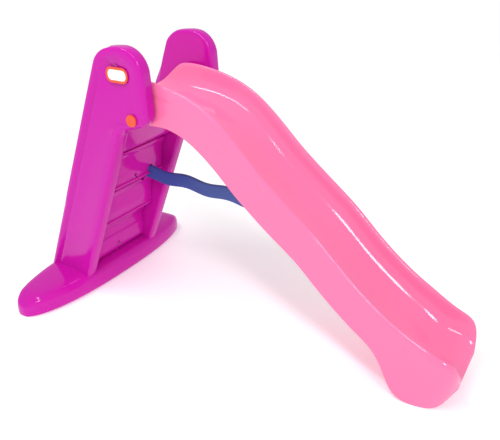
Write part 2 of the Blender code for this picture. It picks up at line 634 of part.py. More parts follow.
# ---------------------------------------------------------------- pivot pins, washers, badges
for side, sign in SIDES.items():
    face = OUTER_Y + TOUCH
    tip = CHUTE_HALF_WIDTH - PIVOT_REACH
    crown = PIVOT_HEAD_HEIGHT - PIVOT_HEAD_RIM
    dome = [(0, PIVOT_HEAD_HEIGHT)]
    for angle in (math.radians(28), math.radians(56), math.radians(90)):
        dome.append((PIVOT_HEAD_RADIUS * math.sin(angle), PIVOT_HEAD_RIM + crown * math.cos(angle)))
    shank = [(PIVOT_HEAD_RADIUS, 0), (PIVOT_PIN_RADIUS, 0),
             (PIVOT_PIN_RADIUS, tip - face + PIVOT_PIN_CHAMFER),
             (PIVOT_PIN_RADIUS - PIVOT_PIN_CHAMFER, tip - face), (0, tip - face)]
    add(f"pivot_pin_{side}", turned(dome + shank, (PIVOT_X, sign * face, PIVOT_Z), (0, sign, 0)),
        LADDER_AXIS, ORANGE)
    washer = ring_washer(PIVOT_PIN_RADIUS + FIT, WASHER_RADIUS, CHUTE_GAP - 2 * TOUCH,
                         (PIVOT_X, sign * (CHUTE_HALF_WIDTH + TOUCH), PIVOT_Z), (0, sign, 0))
    add(f"pivot_washer_{side}", washer, LADDER_AXIS, NYLON)
    end_radius = BADGE_SIZE[1] / 2
    reach = BADGE_SIZE[0] / 2 - end_radius
    oval = (arc((BADGE_CENTRE[0] + reach, BADGE_CENTRE[1]), end_radius, -90, 90, 7)
            + arc((BADGE_CENTRE[0] - reach, BADGE_CENTRE[1]), end_radius, 90, 270, 7))
    ends = sorted((sign * (OUTER_Y + TOUCH), sign * (OUTER_Y + TOUCH + BADGE_THICKNESS)))
    add(f"badge_{side}", prism(oval, *ends), LADDER_AXIS, WHITE)

# ---------------------------------------------------------------- brace
def brace_centre(along):
    """Height of the bar's centre line against its pivot, at a distance along it."""
    wave = BRACE_WAVE * (math.cos(2 * math.pi * along / BRACE_WAVELENGTH) - 1)
    return wave - BRACE_FALL * (along / BRACE_REACH)


def brace_outline(samples=28):
    """Side view of the bar: a round eye, a wavy strip and an upturned hook at its tip."""
    half = BRACE_HEIGHT / 2
    pivot_x, pivot_z = BRACE_PIVOT
    hook_x = CATCH_PIN[0] + CATCH_PIN_RADIUS + FIT
    seat_x = hook_x - BRACE_SEAT_RUN / 2
    low = []
    high = []
    for i in range(samples + 1):
        along = (seat_x - pivot_x) * i / samples
        centre = pivot_z + brace_centre(along)
        blend = max(0.0, 1 - (seat_x - pivot_x - along) / BRACE_SEAT_RUN)
        low.append((pivot_x + along, centre - half))
        high.append((pivot_x + along, (centre + half) * (1 - blend) + PIN_SEAT_Z * blend))
    tip_x = hook_x + HOOK_LENGTH
    tip_low = low[-1][1]
    hook_top = PIN_SEAT_Z + HOOK_HEIGHT
    tip = [(tip_x - HOOK_CHAMFER, tip_low), (tip_x, tip_low + HOOK_CHAMFER),
           (tip_x, hook_top - HOOK_CHAMFER / 3), (tip_x - HOOK_CHAMFER / 3, hook_top),
           (hook_x, hook_top), (hook_x, PIN_SEAT_Z)]
    eye = arc(BRACE_PIVOT, half, 90, 270, 8)
    return low[1:] + tip + high[:0:-1] + eye


bar = prism(brace_outline(), BRACE_Y - BRACE_THICKNESS / 2, BRACE_Y + BRACE_THICKNESS / 2)
brace = add("brace_bar", bar, BRACE_AXIS, BLUE)
eye_bore = rod(BRACE_PIN_RADIUS + FIT / 2, BRACE_THICKNESS + 2 * THROUGH,
               (BRACE_PIVOT[0], BRACE_Y - BRACE_THICKNESS / 2 - THROUGH, BRACE_PIVOT[1]), (0, 1, 0))
boolean(brace, add("cut_brace_eye", eye_bore, BRACE_AXIS, None))
pin = rod(BRACE_PIN_RADIUS, 2 * pin_half, (BRACE_PIVOT[0], BRACE_Y - pin_half, BRACE_PIVOT[1]),
          (0, 1, 0))
add("brace_pin", pin, LADDER_AXIS, STEEL)

# ---------------------------------------------------------------- catch under the chute's bed
catch_centre = Vector((CATCH_PIN[0], BRACE_Y, CATCH_PIN[1]))


def bed_underside():
    """Points of the bed's underside above the catch, from its upper end to its lower end."""
    found = []
    for place in [last_section * i / UNDERSIDE_SAMPLES for i in range(UNDERSIDE_SAMPLES + 1)]:
        rim, low, depth, thick, _ = smooth_section(place)
        rim = Vector((rim[0], 0, rim[1]))
        up = (rim - Vector((low[0], 0, low[1]))).normalized()
        point = rim - up * (depth + thick)
        if point.z > CATCH_PIN[1] and abs(point.x - CATCH_PIN[0]) < CATCH_PLATE_LENGTH:
            found.append(point)
    return found


underside = bed_underside()
along_bed = (underside[-1] - underside[0]).normalized()
off_bed = Vector((-along_bed.z, 0, along_bed.x))
plate_top = min((point - catch_centre).dot(off_bed) for point in underside) - TOUCH
cheek_inner = BRACE_THICKNESS / 2 + CATCH_SIDE_GAP
cheek_outer = cheek_inner + CATCH_PLATE


def bed_box(start, end, low_y, high_y, low_off, high_off):
    """A box in the catch's own directions: along the bed, across, and off the bed."""
    bm = block((start, low_y, low_off), (end, high_y, high_off))
    turn = Matrix((along_bed, (0, 1, 0), off_bed)).transposed()
    for vertex in bm.verts:
        vertex.co = turn @ vertex.co + catch_centre
    return bm


half_plate = CATCH_PLATE_LENGTH / 2
half_cheek = CATCH_PIN_RADIUS + CATCH_CHEEK_MARGIN
plate = bed_box(-half_plate, half_plate, -cheek_outer, cheek_outer, plate_top - CATCH_PLATE, plate_top)
bracket = add("catch_bracket", plate, CHUTE_FRAME, STEEL)
for side, sign in SIDES.items():
    ends = sorted((sign * cheek_inner, sign * cheek_outer))
    cheek = bed_box(-half_cheek, half_cheek, *ends, -half_cheek, plate_top - CATCH_PLATE / 2)
    boolean(bracket, add(f"cheek_{side}", cheek, CHUTE_FRAME, None), "UNION")
catch_half = cheek_outer + CATCH_PIN_PROUD
bore = rod(CATCH_PIN_RADIUS + FIT / 2, 2 * (catch_half + THROUGH),
           catch_centre - Vector((0, catch_half + THROUGH, 0)), (0, 1, 0))
boolean(bracket, add("cut_catch_bore", bore, CHUTE_FRAME, None))
catch_pin = rod(CATCH_PIN_RADIUS, 2 * catch_half, catch_centre - Vector((0, catch_half, 0)), (0, 1, 0))
add("catch_pin", catch_pin, CHUTE_FRAME, STEEL)
for place, sign in (("upper", -1), ("lower", 1)):
    seat = catch_centre + along_bed * (sign * (half_plate - CATCH_SCREW_INSET))
    seat += off_bed * (plate_top - CATCH_PLATE)
    path = screw_path(f"cut_catch_screw_{place}", seat, off_bed, CATCH_SCREW_LENGTH, CHUTE_FRAME)
    boolean(bracket, path)
    boolean(chute, path)
    screw(f"catch_screw_{place}", seat - off_bed * TOUCH, off_bed, CATCH_SCREW_LENGTH, CHUTE_FRAME)
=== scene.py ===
"""Looks of a folding toddler slide: glossy blow-moulded ladder, base and chute, and a wavy brace bar."""

import json
import math

import bmesh
import bpy
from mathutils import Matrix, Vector


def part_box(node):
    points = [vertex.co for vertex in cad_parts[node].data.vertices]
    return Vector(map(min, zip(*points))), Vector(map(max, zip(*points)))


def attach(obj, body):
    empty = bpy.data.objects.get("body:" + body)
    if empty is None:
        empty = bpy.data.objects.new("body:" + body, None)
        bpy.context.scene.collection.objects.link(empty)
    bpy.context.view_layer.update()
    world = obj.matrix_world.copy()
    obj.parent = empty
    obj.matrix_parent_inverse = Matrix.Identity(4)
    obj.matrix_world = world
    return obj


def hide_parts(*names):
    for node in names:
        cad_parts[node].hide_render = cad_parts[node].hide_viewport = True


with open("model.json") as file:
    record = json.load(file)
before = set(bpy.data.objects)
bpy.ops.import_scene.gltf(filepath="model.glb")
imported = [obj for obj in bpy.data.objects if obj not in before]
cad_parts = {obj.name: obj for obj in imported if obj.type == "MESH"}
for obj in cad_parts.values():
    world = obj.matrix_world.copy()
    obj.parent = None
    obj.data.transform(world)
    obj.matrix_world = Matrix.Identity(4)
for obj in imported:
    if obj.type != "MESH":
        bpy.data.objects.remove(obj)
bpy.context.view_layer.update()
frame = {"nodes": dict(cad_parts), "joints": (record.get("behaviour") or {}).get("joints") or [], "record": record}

# ---------------------------------------------------------------- sizes, from the frame
GAP = 0.0005
PANEL_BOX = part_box("left_side_panel")
INNER_Y = PANEL_BOX[0].y
OUTER_Y = PANEL_BOX[1].y
STEP_ENDS = INNER_Y - GAP
BASE_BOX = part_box("base")
CHUTE_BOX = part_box("chute")
HALF_CHUTE = CHUTE_BOX[1].y
NOSE_LINE_X = 1.573  # the chute's nose, in the ladder's own measure below
SHIFT = CHUTE_BOX[1].x - NOSE_LINE_X
PIVOT = next(Vector(joint["pos_m"]) for joint in frame["joints"] if joint["name"] == "ladder_fold")
SWING = next(Vector(joint["pos_m"]) for joint in frame["joints"] if joint["name"] == "brace_swing")
SIDES = {"left": 1, "right": -1}
ACROSS = Vector((0, 1, 0))
UPWARDS = Vector((0, 0, 1))


def at(x, z, y=0.0):
    """A point from the ladder's own x, which starts under the panels' feet."""
    return Vector((x + SHIFT, y, z))


# ---------------------------------------------------------------- modelling by operators
def start(kind, name, **settings):
    """Adds a primitive, names it and opens it for editing."""
    if bpy.context.mode != "OBJECT":
        bpy.ops.object.mode_set(mode="OBJECT")
    bpy.ops.object.select_all(action="DESELECT")
    getattr(bpy.ops.mesh, f"primitive_{kind}_add")(**settings)
    piece = bpy.context.active_object
    piece.name = name
    bpy.ops.object.mode_set(mode="EDIT")
    return piece


def reopen(piece, mode="EDIT"):
    if bpy.context.mode != "OBJECT":
        bpy.ops.object.mode_set(mode="OBJECT")
    bpy.ops.object.select_all(action="DESELECT")
    piece.select_set(True)
    bpy.context.view_layer.objects.active = piece
    if mode == "EDIT":
        bpy.ops.object.mode_set(mode="EDIT")


def open_mesh():
    return bmesh.from_edit_mesh(bpy.context.active_object.data)


def pick(kind, test):
    """Selects only the vertices, edges or faces that pass the test."""
    bpy.ops.mesh.select_mode(type=kind)
    bpy.ops.mesh.select_all(action="DESELECT")
    mesh = open_mesh()
    parts = {"VERT": mesh.verts, "EDGE": mesh.edges, "FACE": mesh.faces}[kind]
    for part in parts:
        if test(part):
            part.select_set(True)
    mesh.select_flush_mode()
    bmesh.update_edit_mesh(bpy.context.active_object.data)


def move(offset):
    bpy.ops.transform.translate(value=offset)


def grow(factors, centre):
    bpy.ops.transform.resize(value=factors, center_override=centre)


def extrude(offset):
    bpy.ops.mesh.extrude_region_move(TRANSFORM_OT_translate={"value": offset})


def extrude_all(offset):
    bpy.ops.mesh.select_all(action="SELECT")
    extrude(offset)


def slice_at(distances, axis):
    """Adds a cut right round the piece at each distance along the axis."""
    for distance in distances:
        bpy.ops.mesh.select_all(action="SELECT")
        bpy.ops.mesh.bisect(plane_co=axis * distance, plane_no=axis)


def send(index, target):
    """Moves one vertex to a point."""
    pick("VERT", lambda vertex: vertex.index == index)
    mesh = open_mesh()
    mesh.verts.ensure_lookup_table()
    move(Vector(target) - mesh.verts[index].co)


def outline(name, points, y):
    """A flat face through (x, z) points at one y, from a circle whose points are moved."""
    piece = start("circle", name, vertices=len(points), radius=0.1, fill_type="NGON")
    for index, (x, z) in enumerate(points):
        send(index, (x, y, z))
    return piece


def near(vertex, x, z, reach=1e-4):
    return abs(vertex.co.x - x) < reach and abs(vertex.co.z - z) < reach


def round_corner(x, z, length, segments=6):
    """Rounds one corner of a flat outline; length is the straight stretch that it takes up."""
    pick("VERT", lambda vertex: near(vertex, x, z))
    bpy.ops.mesh.bevel(offset=length, offset_type="OFFSET", segments=segments, profile=0.5,
                       affect="VERTICES")


def split_long_edges(longest):
    """Cuts long outline edges so that the points lie about evenly."""
    lengths = sorted({round(edge.calc_length(), 4) for edge in open_mesh().edges}, reverse=True)
    for length in lengths:
        if length > longest:
            pick("EDGE", lambda edge: abs(edge.calc_length() - length) < 2e-4)
            bpy.ops.mesh.subdivide(number_cuts=math.ceil(length / longest) - 1)


def modify(piece, kind, **settings):
    """Adds a modifier with these settings and applies it."""
    reopen(piece, "OBJECT")
    modifier = piece.modifiers.new(kind.lower(), kind)
    for name, value in settings.items():
        setattr(modifier, name, value)
    bpy.ops.object.modifier_apply(modifier=modifier.name)


def smooth_form(piece, levels=2):
    modify(piece, "SUBSURF", levels=levels, render_levels=levels)


def turn_faces_out(piece):
    reopen(piece)
    bpy.ops.mesh.select_all(action="SELECT")
    bpy.ops.mesh.normals_make_consistent(inside=False)
    bpy.ops.object.mode_set(mode="OBJECT")


def cut(piece, cutter, keep_cutter=False):
    turn_faces_out(cutter)
    turn_faces_out(piece)
    modify(piece, "BOOLEAN", operation="DIFFERENCE", solver="EXACT", object=cutter)
    if not keep_cutter:
        bpy.data.objects.remove(cutter)


def settle(piece, finish, body, slot, *nodes, angle=40):
    """Merges doubles, turns faces outwards, shades, paints, and ties the piece to its body."""
    reopen(piece, "OBJECT")
    bpy.ops.object.transform_apply(location=True, rotation=True, scale=True)
    reopen(piece)
    bpy.ops.mesh.select_all(action="SELECT")
    bpy.ops.mesh.remove_doubles(threshold=1e-6)
    bpy.ops.mesh.normals_make_consistent(inside=False)
    bpy.ops.object.mode_set(mode="OBJECT")
    bpy.ops.object.shade_smooth_by_angle(angle=math.radians(angle))
    piece.data.materials.clear()
    piece.data.materials.append(finish)
    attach(piece, body)
    if nodes:
        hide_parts(*nodes)
    return piece


# ---------------------------------------------------------------- materials
class Field:
    """A shader socket that Python arithmetic works on."""

    def __init__(self, recipe, socket):
        self.recipe = recipe
        self.socket = socket

    def _math(self, operation, first, second):
        return self.recipe.node("ShaderNodeMath", {"operation": operation}, {0: first, 1: second})

    def __add__(self, other):
        return self._math("ADD", self, other)

    __radd__ = __add__

    def __mul__(self, other):
        return self._math("MULTIPLY", self, other)

    __rmul__ = __mul__

    def above(self, edge, width):
        """0 below the edge and 1 above it, over a soft width."""
        settings = {"clamp": True, "interpolation_type": "SMOOTHSTEP"}
        return self.recipe.node("ShaderNodeMapRange", settings,
                                {"Value": self, "From Min": edge, "From Max": edge + width})


class Recipe:
    """A material whose nodes are added one by one."""

    def __init__(self, name):
        self.material = bpy.data.materials.new(name)
        self.material.use_nodes = True
        self.tree = self.material.node_tree
        self.shader = self.tree.nodes["Principled BSDF"]

    def node(self, kind, settings=None, values=None, output=0):
        made = self.tree.nodes.new(kind)
        for name, value in (settings or {}).items():
            setattr(made, name, value)
        for name, value in (values or {}).items():
            self.feed(made.inputs[name], value)
        return Field(self, made.outputs[output])

    def feed(self, socket, value):
        if isinstance(value, Field):
            self.tree.links.new(value.socket, socket)
        else:
            socket.default_value = value

    def place(self):
        return self.node("ShaderNodeTexCoord", output="Object")

    def noise(self, where, scale, detail=2.0, roughness=0.5):
        return self.node("ShaderNodeTexNoise", None,
                         {"Vector": where, "Scale": scale, "Detail": detail, "Roughness": roughness})

    def stretched(self, where, scale):
        return self.node("ShaderNodeMapping", None, {"Vector": where, "Scale": scale})

    def mix(self, share, first, second):
        return self.node("ShaderNodeMix", {"data_type": "RGBA"}, {0: share, 6: first, 7: second},
                         output=2)

    def bump(self, height, distance, over=None):
        values = {"Height": height, "Distance": distance, "Strength": 1.0}
        if over is not None:
            values["Normal"] = over
        return self.node("ShaderNodeBump", None, values)

    def set(self, **values):
        """Sets or links the main shader's sockets; names use _ for a space."""
        for name, value in values.items():
            self.feed(self.shader.inputs[name.replace("_", " ")], value)
        return self.material


def colour(value, factor=1.0):
    return (*(min(1.0, part * factor) for part in value), 1.0)


def moulded_plastic(name, tint, rough, gloss, wave=0.0004, grain=0.00003):
    """Blow-moulded polyethylene: slow waves from the mould, faint orange peel, rub marks."""
    recipe = Recipe(name)
    where = recipe.place()
    cloud = recipe.noise(where, 2.6, 3.0)
    mottle = recipe.noise(where, 38.0, 4.0, 0.6)
    tone = recipe.mix(cloud, colour(tint, 0.965), colour(tint, 1.03))
    flecked = recipe.mix(mottle.above(0.56, 0.12) * 0.16, tone, colour(tint, 0.93))
    rubbed = recipe.noise(recipe.stretched(where, (90.0, 14.0, 30.0)), 1.0, 5.0, 0.7)
    marks = rubbed.above(0.60, 0.10)
    surface = rough + 0.05 * mottle + 0.09 * marks
    slow = recipe.bump(recipe.noise(where, 9.0, 2.0), wave)
    peel = recipe.bump(recipe.noise(where, 420.0, 3.0, 0.6), grain, over=slow)
    return recipe.set(Base_Color=flecked, Roughness=surface, Normal=peel, Specular_IOR_Level=gloss)


def satin_plastic(name, tint, rough):
    """Injection-moulded plastic: fine spark-eroded grain and light scratches along the bar."""
    recipe = Recipe(name)
    where = recipe.place()
    cloud = recipe.noise(where, 6.0, 3.0)
    tone = recipe.mix(cloud, colour(tint, 0.94), colour(tint, 1.08))
    scratch = recipe.noise(recipe.stretched(where, (12.0, 260.0, 260.0)), 1.0, 4.0, 0.6)
    marks = scratch.above(0.62, 0.08)
    worn = recipe.mix(marks * 0.18, tone, colour(tint, 1.5))
    grain = recipe.bump(recipe.noise(where, 1500.0, 2.0, 0.5), 0.00002)
    return recipe.set(Base_Color=worn, Roughness=rough + 0.08 * cloud + 0.1 * marks, Normal=grain,
                      Specular_IOR_Level=0.5)


def plated_steel(name, tint, rough):
    """Zinc-plated steel: a crystal bloom, and fine turning lines."""
    recipe = Recipe(name)
    where = recipe.place()
    bloom = recipe.node("ShaderNodeTexVoronoi", None, {"Vector": where, "Scale": 700.0})
    tone = recipe.mix(bloom, colour(tint, 0.85), colour(tint, 1.1))
    lines = recipe.noise(recipe.stretched(where, (300.0, 2400.0, 2400.0)), 1.0, 3.0)
    return recipe.set(Base_Color=tone, Metallic=1.0, Roughness=rough + 0.15 * lines,
                      Normal=recipe.bump(lines, 0.00002))


def label_film(name, tint):
    """A smooth printed label: faint edge-to-edge sheen and tiny dust specks."""
    recipe = Recipe(name)
    where = recipe.place()
    specks = recipe.noise(where, 900.0, 2.0).above(0.7, 0.05)
    tone = recipe.mix(specks * 0.3, colour(tint), colour(tint, 0.8))
    return recipe.set(Base_Color=tone, Roughness=0.28 + 0.1 * recipe.noise(where, 60.0),
                      Normal=recipe.bump(recipe.noise(where, 300.0), 0.00001))


PURPLE = moulded_plastic("purple_plastic", (0.565, 0.006, 0.375), 0.10, 0.26)
PINK = moulded_plastic("pink_plastic", (0.93, 0.19, 0.40), 0.07, 0.42, wave=0.0003)
BLUE = satin_plastic("blue_plastic", (0.035, 0.092, 0.36), 0.30)
ORANGE = satin_plastic("orange_plastic", (0.86, 0.085, 0.022), 0.22)
WHITE = label_film("badge_white", (0.88, 0.88, 0.87))
STEEL = plated_steel("zinc_steel", (0.62, 0.62, 0.60), 0.25)
NYLON = satin_plastic("nylon_white", (0.80, 0.79, 0.75), 0.45)

# ---------------------------------------------------------------- base
BASE_PLAN_POWER = 2.3
BASE_SECTION_POWER = 4.5
BASE_DROOP = 0.22
BASE_BOTTOM_RADIUS = 0.018
BASE_STATIONS = 13
BASE_END = 0.998  # share of the half length where the last section is, just short of the tip
BASE_ARC_STEPS = 14


def base_form():
    """Half of the boat-shaped base, drawn out from its middle section and mirrored."""
    centre_x = (BASE_BOX[0].x + BASE_BOX[1].x) / 2
    half_depth = (BASE_BOX[1].x - BASE_BOX[0].x) / 2
    half_length = BASE_BOX[1].y / BASE_END
    height = BASE_BOX[1].z
    section = []
    for step in range(BASE_ARC_STEPS + 1):
        angle = math.pi * step / BASE_ARC_STEPS
        x = math.copysign(abs(math.cos(angle)) ** (2 / BASE_SECTION_POWER), math.cos(angle))
        z = math.sin(angle) ** (2 / BASE_SECTION_POWER)
        section.append((centre_x + half_depth * x, max(height * z, BASE_BOTTOM_RADIUS)))
    edge = half_depth - BASE_BOTTOM_RADIUS * 0.35
    section += [(centre_x - edge, BASE_BOTTOM_RADIUS * 0.3),
                (centre_x - edge + BASE_BOTTOM_RADIUS, 0.0),
                (centre_x + edge - BASE_BOTTOM_RADIUS, 0.0),
                (centre_x + edge, BASE_BOTTOM_RADIUS * 0.3)]
    piece = outline("base_shell", section, 0.0)
    bpy.ops.mesh.select_all(action="SELECT")
    was_y, was_width, was_height = 0.0, 1.0, 1.0
    for station in range(1, BASE_STATIONS + 1):
        along = math.sin(math.pi / 2 * station / BASE_STATIONS) * BASE_END
        width = (1 - along**BASE_PLAN_POWER) ** (1 / BASE_PLAN_POWER)
        tall = (1 - BASE_DROOP * along**2) * min(1.0, 0.45 + width)
        y = half_length * along
        bpy.ops.mesh.select_mode(type="FACE")
        extrude((0, y - was_y, 0))
        grow((width / was_width, 1, tall / was_height), (centre_x, y, 0))
        was_y, was_width, was_height = y, width, tall
    pick("FACE", lambda face: abs(face.calc_center_median().y) < 1e-5)
    bpy.ops.mesh.delete(type="ONLY_FACE")
    modify(piece, "MIRROR", use_axis=(False, True, False), use_clip=True, merge_threshold=1e-4)
    smooth_form(piece)
    return piece


base = base_form()

# ---------------------------------------------------------------- side panels
PANEL_LEAN = 0.4243
REAR_FOOT = (-0.1455, 0.05)
FRONT_FOOT = (0.076, 0.05)
HEAD_REAR = (REAR_FOOT[0] + PANEL_LEAN * 0.984, 1.034)
HEAD_FRONT = (0.462, 1.050)
CHIN = (0.480, 0.789)
THROAT = (0.352, 0.752)
PANEL_FILLET = 0.014
# Heights of the cuts across a panel: close together at its foot, so that the foot stays square.
PANEL_CUTS = (0.052, 0.056, 0.066, 0.084, 0.12, 0.17, 0.23, 0.29, 0.35, 0.41, 0.47, 0.53, 0.59, 0.65,
              0.70, 0.77, 0.85, 0.90)
RAIL_SHIFT = 0.020  # how far the groove lies in from the rounded edge
GROOVE_REACH = 0.075  # points nearer than this to an edge belong to its groove
GROOVE_DEPTH = 0.012
# The groove's rings: how far each is inset from the last, and its share of the depth.
GROOVE_RINGS = [(0.004, 0.0), (0.004, 0.55), (0.004, 1.0), (0.004, 0.75), (0.006, 0.0)]
REAR_INWARD = Vector((0.9206, 0.0, -0.3906))  # square to the rear edge, into the panel
TOP_INWARD = Vector((0.06, 0.0, -0.998))


def side_panel(side, sign):
    corners = [REAR_FOOT, HEAD_REAR, HEAD_FRONT, CHIN, THROAT, FRONT_FOOT]
    places = [at(x, z) for x, z in corners]
    piece = outline(f"{side}_panel_shell", [(p.x, p.z) for p in places], sign * INNER_Y)
    for place, length, segments in ((places[1], 0.056, 8), (places[2], 0.094, 12),
                                    (places[3], 0.042, 7), (places[4], 0.030, 6)):
        round_corner(place.x, place.z, length, segments)
    slice_at(PANEL_CUTS, UPWARDS)
    extrude_all((0, sign * (OUTER_Y - INNER_Y), 0))
    bpy.ops.mesh.select_all(action="SELECT")
    bpy.ops.mesh.normals_make_consistent(inside=False)
    pick("EDGE", lambda edge: sum(abs(face.normal.y) > 0.9 for face in edge.link_faces) == 1)
    bpy.ops.mesh.bevel(offset=PANEL_FILLET, segments=3, profile=0.5, affect="EDGES")
    outer = sign * OUTER_Y
    pick("FACE", lambda face: abs(face.normal.y) > 0.999
         and abs(face.calc_center_median().y - outer) < 1e-5)
    rings = []
    for width, sunk in GROOVE_RINGS:
        bpy.ops.mesh.inset(thickness=width, use_even_offset=False)
        rings.append(([vertex.index for vertex in open_mesh().verts if vertex.select], sunk))
    for ring, sunk in rings:
        mesh = open_mesh()
        mesh.verts.ensure_lookup_table()
        members = {index: mesh.verts[index].co.copy() for index in ring}
        for index, place in members.items():
            rear, top = groove_share(place, places)
            if rear + top == 0:
                continue
            offset = REAR_INWARD * (RAIL_SHIFT * rear) + TOP_INWARD * (RAIL_SHIFT * 0.5 * top)
            offset.y = -sign * GROOVE_DEPTH * sunk * max(rear, top)
            send(index, place + offset)
    smooth_form(piece)
    cut(piece, base, keep_cutter=True)
    return settle(piece, PURPLE, "ladder", "purple_plastic", f"{side}_side_panel")


def groove_share(place, places):
    """How far a point takes part in the groove beside the rear edge, and in that along the top."""
    from_rear = (place - places[1]).dot(REAR_INWARD)
    from_top = (place - places[1]).dot(TOP_INWARD)
    rear = 1.0 if from_rear < GROOVE_REACH else 0.0
    top = max(0.0, min(1.0, 1.6 - from_rear / GROOVE_REACH)) if from_top < GROOVE_REACH else 0.0
    return rear, top


for side, sign in SIDES.items():
    side_panel(side, sign)

# ---------------------------------------------------------------- steps
RIB_PITCH = 0.011
RIB_HEIGHT = 0.0013
# Cuts close to the steps' ends, so that the ends stay square.
STEP_CUTS = (-STEP_ENDS + 0.003, -STEP_ENDS + 0.012, STEP_ENDS - 0.012, STEP_ENDS - 0.003)


def tread_points(nose_x, top_z, first, last):
    """Points of the ribbed tread, from behind the nose to the next riser."""
    points = []
    x = nose_x + first
    while x + RIB_PITCH < nose_x + last:
        points += [(x, top_z - RIB_HEIGHT), (x + RIB_PITCH * 0.25, top_z), (x + RIB_PITCH * 0.6, top_z),
                   (x + RIB_PITCH * 0.85, top_z - RIB_HEIGHT)]
        x += RIB_PITCH
    return points


def step_outline(node):
    """Side view of one step, from its nose round its back to its foot, with points close together
    where an edge stays crisp."""
    low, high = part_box(node)
    nose, top, foot = low.x, high.z, low.z
    points = [(nose + 0.0035, top - 0.013), (nose + 0.0005, top - 0.006), (nose + 0.002, top - 0.0015),
              (nose + 0.008, top)]
    points += tread_points(nose, top, 0.012, 0.092)
    points += [(nose + 0.100, top), (nose + 0.1090, top), (nose + 0.1118, top - 0.002),
               (nose + 0.1120, top - 0.006), (nose + 0.1095, top - 0.016), (nose + 0.1055, top - 0.021),
               (nose + 0.0990, top - 0.024), (nose + 0.0975, top - 0.030)]
    if node == "lower_step":
        points += [(nose + 0.096, top - 0.062), (nose + 0.0975, top - 0.066),
                   (nose + 0.1010, top - 0.068), (nose + 0.1015, top - 0.075),
                   (nose + 0.0985, foot + 0.05), (nose + 0.096, foot), (nose + 0.021, foot)]
    else:
        points += [(nose + 0.092, top - 0.055), (nose + 0.0885, foot + 0.075),
                   (nose + 0.0800, foot + 0.050), (nose + 0.0790, foot + 0.042),
                   (nose + 0.0840, foot + 0.040), (nose + 0.0860, foot + 0.037),
                   (nose + 0.0850, foot + 0.031), (nose + 0.0800, foot + 0.0285),
                   (nose + 0.076, foot + 0.0275), (nose + 0.056, foot + 0.014),
                   (nose + 0.038, foot + 0.001), (nose + 0.034, foot), (nose + 0.021, foot)]
    points += [(nose + 0.018, foot + 0.03), (nose + 0.009, (foot + top) / 2 + 0.03)]
    return points


def step(node):
    piece = outline(f"{node}_shell", step_outline(node), -STEP_ENDS)
    extrude_all((0, 2 * STEP_ENDS, 0))
    slice_at(STEP_CUTS, ACROSS)
    return piece


SLOT_HALF = 0.0102
SLOT_REACH = 0.031
SLOT_MOUTH = 0.12
SLOT_FLOOR = 0.418
SLOT_SETBACK = 0.012
BRACE_Y = (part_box("brace_bar")[0].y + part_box("brace_bar")[1].y) / 2
SINK = 0.008
BORE_RADIUS = 0.0080
LIP_SCREWS = {"lower_step": (at(0.0656, 0.136), Vector((-0.5, 0, -0.866)).normalized()),
              "top_step": (at(0.1923, 0.477), Vector((-0.78, 0, -0.625)).normalized())}


def brace_pocket(piece):
    """The slot that the brace bar turns in: round at the eye, open towards the chute, and deep
    enough below for the bar to hang in when the ladder is folded."""
    points = [(SWING.x - SLOT_REACH * math.cos(math.radians(turn)),
               SWING.z + SLOT_REACH * math.sin(math.radians(turn))) for turn in range(0, 91, 10)]
    points += [(SWING.x + SLOT_MOUTH, SWING.z + SLOT_REACH), (SWING.x + SLOT_MOUTH, SLOT_FLOOR),
               (SWING.x - SLOT_REACH - SLOT_SETBACK, SLOT_FLOOR)]
    pocket = outline("pocket", points, BRACE_Y - SLOT_HALF)
    extrude_all((0, 2 * SLOT_HALF, 0))
    cut(piece, pocket)


def screw_bore(piece, mouth, heading):
    turn = heading.to_track_quat("Z", "Y").to_euler()
    bore = start("cylinder", "bore", vertices=40, radius=BORE_RADIUS, depth=4 * SINK,
                 location=mouth - heading * SINK, rotation=turn)
    cut(piece, bore)


for node in ("lower_step", "middle_step", "top_step"):
    made = step(node)
    smooth_form(made)
    if node == "lower_step":
        cut(made, base, keep_cutter=True)
    else:
        brace_pocket(made)
    if node in LIP_SCREWS:
        screw_bore(made, *LIP_SCREWS[node])
    settle(made, PURPLE, "ladder", "purple_plastic", node)

settle(base, PURPLE, "ladder", "purple_plastic", "base")

